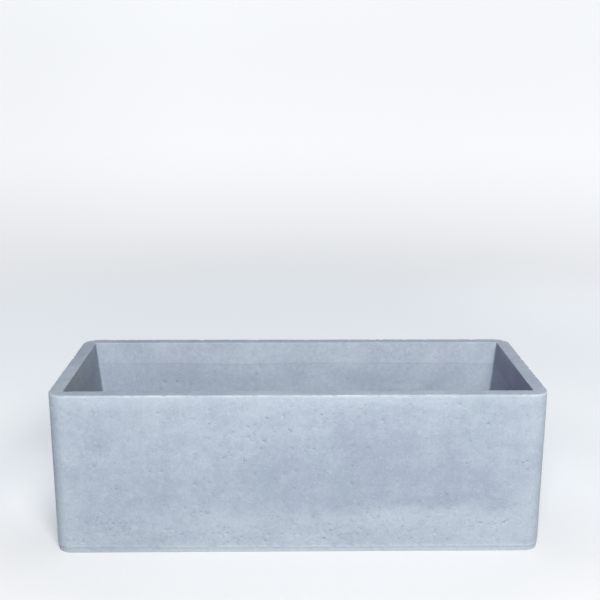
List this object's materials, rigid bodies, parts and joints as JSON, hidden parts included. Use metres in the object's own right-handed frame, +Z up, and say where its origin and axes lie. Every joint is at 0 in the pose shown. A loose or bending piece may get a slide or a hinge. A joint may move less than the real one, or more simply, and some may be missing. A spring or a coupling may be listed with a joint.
{
  "type": "planter box",
  "caption": "Long open-topped planter box: one cast concrete trough with a flat rim, inward-leaning inner walls, floor drains with pull-out plugs and thin base pads.",
  "frame": {"origin": "centre of the footprint, on the plane the base pads stand on", "axes": "+X along the length to the right, +Y from the front wall to the back wall, +Z up"},
  "size_m": [1, 0.39, 0.342],
  "materials": {
    "concrete": "matte cast fibre-reinforced concrete, pale blue-grey, fine pinholes",
    "drain_pvc": "grey rigid PVC, slightly dusty",
    "plug_rubber": "black moulded rubber",
    "pad_rubber": "dark grey rubber sheet"
  },
  "bodies": {
    "trough": {"planter_shell": "concrete", "drain_sleeve_left": "drain_pvc", "drain_sleeve_centre": "drain_pvc", "drain_sleeve_right": "drain_pvc", "base_pad_front_left": "pad_rubber", "base_pad_front_right": "pad_rubber", "base_pad_back_left": "pad_rubber", "base_pad_back_right": "pad_rubber"},
    "plug_left": {"drain_plug_left": "plug_rubber"},
    "plug_centre": {"drain_plug_centre": "plug_rubber"},
    "plug_right": {"drain_plug_right": "plug_rubber"}
  },
  "joints": [
    {"name": "plug_left_pull", "type": "slide", "parent": "trough", "child": "plug_left", "axis": [0, 0, 1], "range_m": [0, 0.05]},
    {"name": "plug_centre_pull", "type": "slide", "parent": "trough", "child": "plug_centre", "axis": [0, 0, 1], "range_m": [0, 0.05]},
    {"name": "plug_right_pull", "type": "slide", "parent": "trough", "child": "plug_right", "axis": [0, 0, 1], "range_m": [0, 0.05]}
  ]
}
